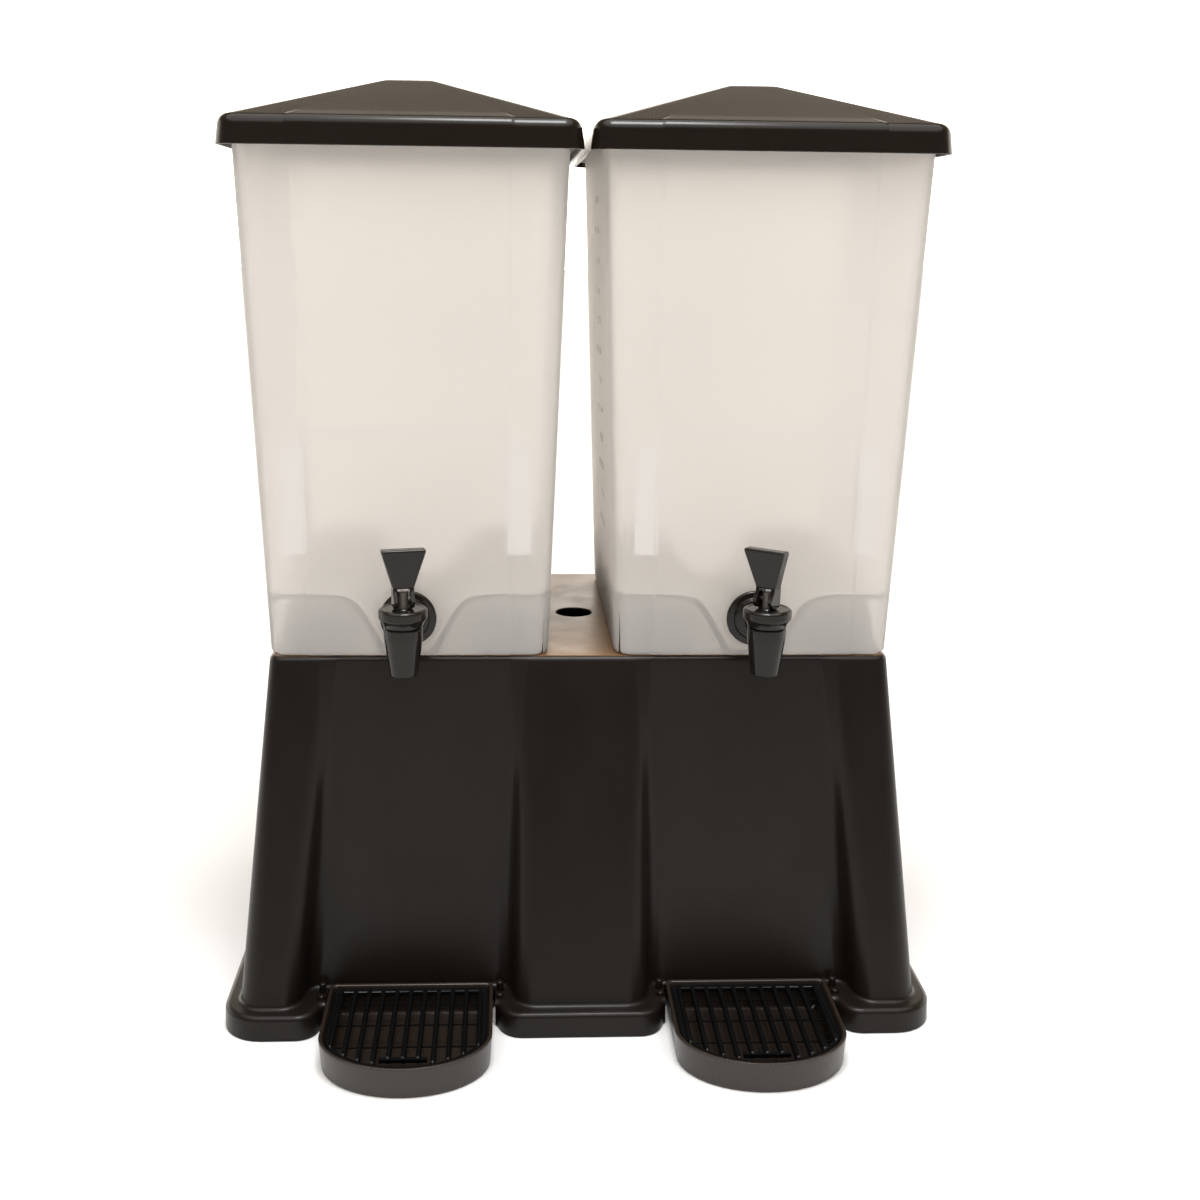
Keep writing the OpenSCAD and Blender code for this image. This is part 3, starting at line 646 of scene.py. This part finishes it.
def front_ribs(name, side):
    """The thick strips in the front wall and the ledge over them, seen through the plastic."""
    bm = bmesh.new()
    face = TANK_FRONT + TANK_WALL
    for hand in (-1, 1):
        start = len(bm.verts)
        plate(bm, 8, FLOOR_Z + 27, FLOOR_Z + 100, face - 2.2, face + 1, 3)
        bm.verts.ensure_lookup_table()
        bmesh.ops.translate(bm, verts=bm.verts[start:], vec=Vector((hand * 72, 0, 0)) * MM)
    plate(bm, PANEL_HALF - 1, FLOOR_Z + 106, FLOOR_Z + 107.6, face - 2.2, face + 0.6, 0.6)
    obj = make(f"{name}_front_ribs", bm, strip_plastic, Matrix.Translation((side * TANK_X * MM, 0, 0)))
    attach(obj, f"{name}_tank_body")


# ---------- Lids ----------

LID_PANEL, FLAT_PANEL = 68.0, 7.0
BAND_STEP, SHOULDER_STEP = 0.15, 0.9


def lid_outline(inset, flat=0.0, step=BAND_STEP):
    """The band's outline, moved in by inset, with its middle panel proud of the rest by step;
    flat carries the outline towards the small flat at the top."""
    run = LID_HALF - FLAT_HALF
    half, front, back = LID_HALF - inset, LID_FRONT + inset, LID_BACK - inset
    radius = max(14 - inset, 2)
    band = [(-half, back, radius), (-half, front, radius),
            (-LID_PANEL - 1, front, 0.5), (-LID_PANEL + 1, front - step, 0.5)]
    top = [(-FLAT_HALF, LID_BACK - run, 4), (-FLAT_HALF, LID_FRONT + run, 4),
           (-FLAT_PANEL, LID_FRONT + run, 0.2), (-FLAT_PANEL + 1, LID_FRONT + run - 0.02, 0.2)]
    corners = [tuple(mix(a, b, flat) for a, b in zip(low, high)) for low, high in zip(band, top)]
    return outline(both_sides(corners))


def lid(name, side):
    flare, radius, arc, steps = 1.6, 8.0, math.radians(74), 14
    bm = bmesh.new()
    rings = [(lid_outline(2.4), LID_Z + 12.4), (lid_outline(2.4), LID_Z + 0.4), (lid_outline(2.0), LID_Z),
             (lid_outline(0.6), LID_Z), (lid_outline(0.2), LID_Z + 0.5), (lid_outline(0.9), BAND_Z - 13)]
    for i in range(steps + 1):
        t = i / steps
        a = arc * t
        inset = flare + radius * (1 - math.cos(a))
        z = BAND_Z - radius - 0.4 + radius * math.sin(a)
        rings.append((lid_outline(inset, step=mix(BAND_STEP, SHOULDER_STEP, t)), z))
    shoulder_z = rings[-1][1]
    top_inset = flare + radius * (1 - math.cos(arc))
    for t in (0.03, 0.07, 0.125, 0.35, 0.65, 0.965):
        step = max(SHOULDER_STEP - 7 * t, 0.02)
        rings.append((lid_outline(top_inset, t, step), mix(shoulder_z, ROOF_Z, t)))
    rings.append((lid_outline(top_inset, 1.0), ROOF_Z))
    loft(bm, rings, close_first=False)
    inner = [(lid_outline(2.4), LID_Z + 12.4), (lid_outline(9), LID_Z + 12.6),
             (lid_outline(9, 0.97), ROOF_Z - 2.6)]
    loft(bm, list(reversed(inner)), close_first=True, close_last=False)
    obj = make(f"{name}_lid_roof", bm, lid_plastic, Matrix.Translation((side * TANK_X * MM, 0, 0)))
    even_shading(obj)
    return finish_piece(obj, f"{name}_lid_body", f"{name}_lid")


# ---------- Drip trays ----------

TRAY_BOW = 41         # depth of the bowed front


def tray_outline(inset, back, steps=28):
    """Straight sides and a bowed front."""
    half, bow = TRAY_HALF - inset, TRAY_BOW - 0.6 * inset
    side = TRAY_FRONT + TRAY_BOW + 0.4 * inset
    angles = [math.pi + math.pi * i / steps for i in range(steps + 1)]
    front = [Vector((half * math.cos(a), side + bow * math.sin(a))) for a in angles]
    corner = 3.0
    bevel = 0.3 * corner
    rear = [Vector((half, back - corner)), Vector((half - bevel, back - bevel)),
            Vector((half - corner, back))]
    return front + rear + [Vector((-p.x, p.y)) for p in reversed(rear)]


def drip_tray(name, side):
    back, wall, ledge = TRAY_BACK, 2.5, 15.7
    bm = bmesh.new()
    rings = [(tray_outline(2.6, back), 0), (tray_outline(1.5, back), 1.0), (tray_outline(1.2, back), 2.4),
             (tray_outline(0.2, back), TRAY_H - 2.4), (tray_outline(0.0, back), TRAY_H - 1.2),
             (tray_outline(0.3, back), TRAY_H - 0.3), (tray_outline(0.9, back), TRAY_H),
             (tray_outline(1.7, back - 1.6), TRAY_H), (tray_outline(2.3, back - 2.2), TRAY_H - 0.5),
             (tray_outline(wall + 0.2, back - wall), TRAY_H - 1.6),
             (tray_outline(wall + 0.9, back - wall), ledge + 0.1),
             (tray_outline(5.6, back - 5.6), ledge), (tray_outline(6.0, back - 6), 4.5),
             (tray_outline(7.5, back - 7.5), 2.6)]
    loft(bm, rings)
    block(bm, (-44, back - 1, 0.2), (44, back + 39, 6))
    obj = make(f"{name}_tray", bm, tray_plastic, Matrix.Translation((side * TANK_X * MM, 0, 0)))
    even_shading(obj)
    return finish_piece(obj, f"{name}_tray_body", f"{name}_drip_tray")


def rib(bm, x, front, back, top, half=1.6, depth=4.4):
    """A round-topped rib along Y whose front end is rounded off."""
    arc = [(half * math.cos(math.pi * i / 8), half * math.sin(math.pi * i / 8)) for i in range(9)]
    rings = []
    for k in range(6):
        a = math.pi / 2 * k / 5
        shrink, y = math.sin(a), front + 2.6 * (1 - math.cos(a))
        rings.append((max(shrink, 0.25), y))
    rings.append((1.0, back))
    loops = []
    for share, y in rings:
        foot, sunk = top - depth, (1 - share) * 1.8
        section = [(x + half * share, foot)]
        section += [(x + u * share, top - half + v - sunk) for u, v in arc]
        section.append((x - half * share, foot))
        loops.append([bm.verts.new((u * MM, y * MM, v * MM)) for u, v in section])
    skin(bm, loops)


def bowed(x, half):
    """How far the bowed front reaches from the straight sides at x, for a bow of this half width."""
    return TRAY_BOW * math.sqrt(1 - (x / half) ** 2)


def drip_grid(name, side):
    """A frame, cross bars, a finger bar at the front and round-topped ribs."""
    top, edge, back = TRAY_H - 1.0, 3.6, TRAY_BACK - 3.3
    pitch, half, play = 9.3, TRAY_HALF - 3.6, 1.5
    frame_low, bow_start, finger = top - 4, TRAY_FRONT + TRAY_BOW, TRAY_FRONT + 15
    bm = bmesh.new()
    outer, inner = tray_outline(edge, back), tray_outline(edge + 3.6, back - 3.6)
    loft(bm, [(outer, frame_low), (outer, top - 1.9), (tray_outline(edge + 0.5, back - 0.5), top - 1.4),
              (tray_outline(edge + 3.2, back - 3.2), top - 1.4), (inner, top - 1.8), (inner, frame_low),
              (outer, frame_low)], close_first=False, close_last=False)
    for y in (-168, -142, -116):
        reach = half - play
        if y <= bow_start:
            reach = half * math.sqrt(1 - ((bow_start - y) / TRAY_BOW) ** 2) - play
        block(bm, (-reach, y, frame_low), (reach, y + 1.5, top - 3.5))
    block(bm, (-15, finger, frame_low), (15, finger + 3, top - 1.6))
    for i in range(-5, 6):
        x = i * pitch
        front = finger if abs(i) < 2 else bow_start - bowed(x, half + play) + 7
        rib(bm, x, front, back - 2, top)
    obj = make(f"{name}_grid", bm, grid_plastic, Matrix.Translation((side * TANK_X * MM, 0, 0)))
    return finish_piece(obj, f"{name}_grid_body", f"{name}_drip_grid")


# ---------- Faucets ----------

def faucet_place(side, turn=0.0):
    return (Matrix.Translation(Vector((side * TANK_X, SPOUT_Y, SHANK_Z)) * MM)
            @ Matrix.Rotation(math.radians(turn), 4, "Z"))


def along_y(bm, profile, steps=64):
    """Turns (radius, y) pairs about the Y axis."""
    start = len(bm.verts)
    turned(bm, profile, steps)
    bm.verts.ensure_lookup_table()
    new = bm.verts[start:]
    bmesh.ops.transform(bm, verts=new, matrix=Matrix.Rotation(-math.pi / 2, 4, "X"))


# Faucet sizes about its own origin, where the shank's line meets the spout's
WALL_FACE = TANK_FRONT - PANEL_STEP - SPOUT_Y
SPOUT_TIP, FLANGE_DISC_R = -24.4, 18.4
BONNET_BORE, BONNET_STEM_R, STEM_R, STEM_TOP = 11.2, 3.9, 3.55, 29.4
SHOULDER, SPRING_TOP, SPRING_R, WIRE_R, LIFT_LIMIT = 2.0, 15.0, 6.0, 0.5, 3.2
PIVOT, BONNET_TOP, LEAN = 25.0, 19.0, 5.5
LIFT_PER_DEGREE, TIP_RANGE = 0.045, 70
BLADE_TOP, BLADE_HALF, LEG_OUT, LEG_IN = 57.0, 14.2, 6.5, 3.9


def faucet_body(name, side):
    """Spout and shank. It has no bore above the spout, so what it holds stands inside solid plastic."""
    bm = bmesh.new()
    turned(bm, [(0, 13.9, 0), (10.9, 13.9, 0), (10.9, 7, 0), (12.2, 5.8, 0.6), (12.0, -1, 20),
                (8.8, SPOUT_TIP, 1.0), (5.6, SPOUT_TIP, 0.6), (5.5, -9, 0), (0, -9, 0)])
    along_y(bm, [(0, 4, 0), (6.7, 4, 0), (6.7, WALL_FACE - 9, 2.5), (13.3, WALL_FACE - 7.6, 1.5),
                 (14.0, WALL_FACE - 5.2, 1.0), (FLANGE_DISC_R, WALL_FACE - 5.0, 1.6),
                 (FLANGE_DISC_R, WALL_FACE - 2.3, 0.6), (7.8, WALL_FACE - 2.3, 0),
                 (7.8, WALL_FACE + 23, 1.0), (0, WALL_FACE + 23, 0)])
    obj = make(f"{name}_faucet", bm, faucet_plastic, faucet_place(side))
    even_shading(obj)
    return finish_piece(obj, f"{name}_tank_body", f"{name}_faucet_body")


def bonnet(name, side):
    bm = bmesh.new()
    low, top, roof = 7.1, 18.95, 15.2
    turned(bm, [(BONNET_BORE, low, 0), (12.2, low, 0.4), (12.9, 9.6, 6), (15.2, 12.6, 2.4), (15.2, 17.6, 1.5),
                (13.4, 18.9, 1.0), (11.8, 18.3, 0.8), (6.2, 18.3, 0.6), (5.6, top, 0.3),
                (BONNET_STEM_R, top, 0.2), (BONNET_STEM_R, roof, 0), (BONNET_BORE, roof, 0),
                (BONNET_BORE, low, 0)])
    obj = make(f"{name}_bonnet_cap", bm, faucet_plastic, faucet_place(side))
    even_shading(obj)
    return finish_piece(obj, f"{name}_tank_body", f"{name}_bonnet")


def stem(name, side, turn):
    bm = bmesh.new()
    collar_r, foot = 6.9, -4
    turned(bm, [(0, STEM_TOP, 0), (STEM_R, STEM_TOP, 0.8), (STEM_R, SHOULDER, 0), (collar_r, SHOULDER, 0.2),
                (collar_r, 0, 0.2), (STEM_R, 0, 0), (STEM_R, foot, 0.3), (0, foot, 0)], 48)
    obj = make(f"{name}_stem_rod", bm, stem_plastic, faucet_place(side, turn))
    return finish_piece(obj, f"{name}_stem_body", f"{name}_stem")


def valve_spring(name, side):
    """A coil between the stem's shoulder and the bonnet, made at its resting length."""
    bm = bmesh.new()
    turns, steps, around, gap = 5, 24, 10, 0.1
    low, high = SHOULDER + WIRE_R + gap, SPRING_TOP - WIRE_R - gap
    loops = []
    for k in range(turns * steps + 1):
        a, z = 2 * math.pi * k / steps, mix(low, high, k / (turns * steps))
        ring = []
        for b in full_turn(around):
            r = SPRING_R + WIRE_R * math.cos(b)
            point = Vector((r * math.cos(a), r * math.sin(a), z + WIRE_R * math.sin(b)))
            ring.append(bm.verts.new(point * MM))
        loops.append(ring)
    skin(bm, loops)
    obj = make(f"{name}_spring", bm, spring_steel, faucet_place(side))
    finish_piece(obj, f"{name}_stem_body", f"{name}_valve_spring")
    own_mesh(obj)


def leg_section():
    """Side view of a leg about the pin; its heel is the curve that stays on the bonnet as the stem rises."""
    heel = PIVOT - BONNET_TOP - 0.3
    k = LIFT_PER_DEGREE * 180 / math.pi
    cam = []
    for i in range(25):
        a = math.radians(TIP_RANGE * i / 24)
        s = heel + k * a
        cam.append((-s * math.sin(a) - k * math.cos(a), -s * math.cos(a) + k * math.sin(a)))
    top = 7.8
    front = [(4.5, top), (4.6, 2), (4.4, -heel + 2), (3.6, -heel + 0.4), (2.8, -heel)]
    return front + cam + [(-5.0, 5), (-4.5, top)]


def handle(name, side, turn):
    """Two legs and a fan-shaped blade. The legs have no hole for the pin."""
    bm = bmesh.new()
    for hand in (-1, 1):
        xs = sorted((hand * LEG_IN, hand * LEG_OUT))
        skin(bm, [[bm.verts.new((x * MM, y * MM, (PIVOT + z) * MM)) for y, z in leg_section()] for x in xs])
    rings = []
    low, high = PIVOT + 6.5, BLADE_TOP
    levels = [(1.2, low), (0.35, low + 0.4), (0, low + 1.2)]
    levels += [(0, mix(low, high, t)) for t in (0.2, 0.4, 0.6, 0.8)]
    levels += [(inset, z) for inset, z in edge_round(1.8, high, steps=6)]
    for inset, z in levels:
        t = (z - low) / (high - low)
        half, thick = mix(LEG_OUT, BLADE_HALF, t) - inset, mix(4.5, 4.3, t) - inset
        lean = LEAN * t
        r = max(1.6 - inset, 0.4)
        points = outline([(-half, thick, r), (-half, -thick, r), (half, -thick, r), (half, thick, r)], 5)
        rings.append(([Vector((p.x, p.y - lean)) for p in points], z))
    loft(bm, rings)
    obj = make(f"{name}_lever", bm, faucet_plastic, faucet_place(side, turn))
    bevel = obj.modifiers.new("edges", "BEVEL")
    bevel.width = 0.4 * MM
    bevel.segments = 2
    bevel.limit_method = "ANGLE"
    bevel.angle_limit = math.radians(50)
    even_shading(obj)
    return finish_piece(obj, f"{name}_handle_body", f"{name}_handle")


def washer(name, side):
    bm = bmesh.new()
    bore, rim, inner, outer = 8.0, 16.9, WALL_FACE - 0.02, WALL_FACE - 2.2
    along_y(bm, [(bore, outer, 0), (rim, outer, 0.5), (rim, inner, 0.4), (bore, inner, 0), (bore, outer, 0)])
    obj = make(f"{name}_washer", bm, washer_rubber, faucet_place(side))
    return finish_piece(obj, f"{name}_tank_body", f"{name}_outer_washer")


# ---------- Pieces that stay as the CAD has them ----------

def repaint():
    finishes = {"base_pads": pad_rubber}
    for name, _ in SIDES:
        finishes.update({f"{name}_seat_cup": silicone, f"{name}_handle_pin": spring_steel,
                         f"{name}_inner_washer": washer_rubber,
                         f"{name}_shank_nut": nut_plastic})
    for node, mat in finishes.items():
        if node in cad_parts:
            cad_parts[node].data.materials[0] = mat


# ---------- Camera, light and floor ----------

BAND_LIGHT, ROOM_LIGHT = 3.15, 0.2
FRONT_TONE, SIDE_TONE, BAND_TONE = (0.05, 0.051, 0.055), (0.09, 0.088, 0.084), (1.0, 0.93, 0.83)
ROOM_TONE = (1.0, 0.76, 0.52)


def camera():
    level = math.cos(CAM_PITCH)
    ahead = Vector((math.sin(CAM_YAW) * level, math.cos(CAM_YAW) * level, -math.sin(CAM_PITCH)))
    flat_right = Vector((math.cos(CAM_YAW), -math.sin(CAM_YAW), 0))
    flat_up = flat_right.cross(ahead)
    right = math.cos(CAM_ROLL) * flat_right + math.sin(CAM_ROLL) * flat_up
    up = -math.sin(CAM_ROLL) * flat_right + math.cos(CAM_ROLL) * flat_up
    data = bpy.data.cameras.new("camera")
    data.lens, data.sensor_width = CAM_LENS, CAM_SENSOR
    data.shift_x, data.shift_y = CAM_SHIFT_X, CAM_SHIFT_Y
    cam = bpy.data.objects.new("camera", data)
    place = Matrix((right, up, -ahead)).transposed().to_4x4()
    place.translation = CAM_POS
    cam.matrix_world = place
    bpy.context.scene.collection.objects.link(cam)
    bpy.context.scene.camera = cam


def area_light(name, location, target, size, energy, colour=(1, 1, 1)):
    light = bpy.data.lights.new(name, "AREA")
    light.shape = "RECTANGLE"
    light.size, light.size_y = size
    light.energy = energy
    light.color = colour
    obj = bpy.data.objects.new(name, light)
    obj.location = location
    obj.rotation_euler = (Vector(target) - Vector(location)).to_track_quat("-Z", "Y").to_euler()
    bpy.context.scene.collection.objects.link(obj)


def studio_world():
    """A dim room with a bright warm band low down behind the object."""
    world = bpy.data.worlds.new("studio")
    bpy.context.scene.world = world
    world.use_nodes = True
    tree = world.node_tree
    where = tree.nodes.new("ShaderNodeTexCoord")
    split = tree.nodes.new("ShaderNodeSeparateXYZ")
    depth = tree.nodes.new("ShaderNodeMapRange")
    depth.inputs["From Min"].default_value = -1
    tree.links.new(where.outputs["Generated"], split.inputs["Vector"])
    tree.links.new(split.outputs["Y"], depth.inputs["Value"])
    low = tree.nodes["Background"]
    low.inputs["Strength"].default_value = BAND_LIGHT
    stops = [(0.10, FRONT_TONE), (0.50, SIDE_TONE), (0.66, BAND_TONE)]
    front_to_back = ramp(tree, depth.outputs["Result"], stops)
    tree.links.new(front_to_back, low.inputs["Color"])
    high = tree.nodes.new("ShaderNodeBackground")
    high.inputs["Strength"].default_value = ROOM_LIGHT
    high.inputs["Color"].default_value = (*ROOM_TONE, 1)
    mixed = tree.nodes.new("ShaderNodeMixShader")
    tree.links.new(ramp(tree, split.outputs["Z"], [(0.28, 0.0), (0.48, 1.0)]), mixed.inputs["Fac"])
    tree.links.new(low.outputs["Background"], mixed.inputs[1])
    tree.links.new(high.outputs["Background"], mixed.inputs[2])
    tree.links.new(mixed.outputs["Shader"], tree.nodes["World Output"].inputs["Surface"])


def sun(name, direction, strength, spread, colour=(1, 1, 1)):
    light = bpy.data.lights.new(name, "SUN")
    light.energy = strength
    light.angle = math.radians(spread)
    light.color = colour
    obj = bpy.data.objects.new(name, light)
    obj.rotation_euler = Vector(direction).to_track_quat("-Z", "Y").to_euler()
    bpy.context.scene.collection.objects.link(obj)


def stage():
    bpy.ops.mesh.primitive_plane_add(size=40)
    floor = bpy.context.object
    floor.name = "floor"
    mat, tree, bsdf = new_material("floor paint")
    tone = ramp(tree, object_noise(tree, 0.6, 2), [(0.3, 0.86), (0.7, 0.9)])
    tree.links.new(tone, bsdf.inputs["Base Color"])
    bsdf.inputs["Roughness"].default_value = 0.6
    floor.data.materials.append(mat)
    studio_world()
    sun("ceiling", (0, 0.2, -1), 2.9, 80)
    area_light("lamp", (0.03, -0.3, 1.6), (0, 0, 0.5), (0.4, 0.4), 13)
    bpy.context.scene.view_settings.view_transform = "Standard"


base()
locating_blocks()
for name, side in SIDES:
    turn = LEFT_TURN if side < 0 else RIGHT_TURN
    tank(name, side)
    front_ribs(name, side)
    capacity_marks(name, side)
    lid(name, side)
    drip_tray(name, side)
    drip_grid(name, side)
    faucet_body(name, side)
    bonnet(name, side)
    stem(name, side, turn)
    valve_spring(name, side)
    handle(name, side, turn)
    washer(name, side)
repaint()
camera()
stage()
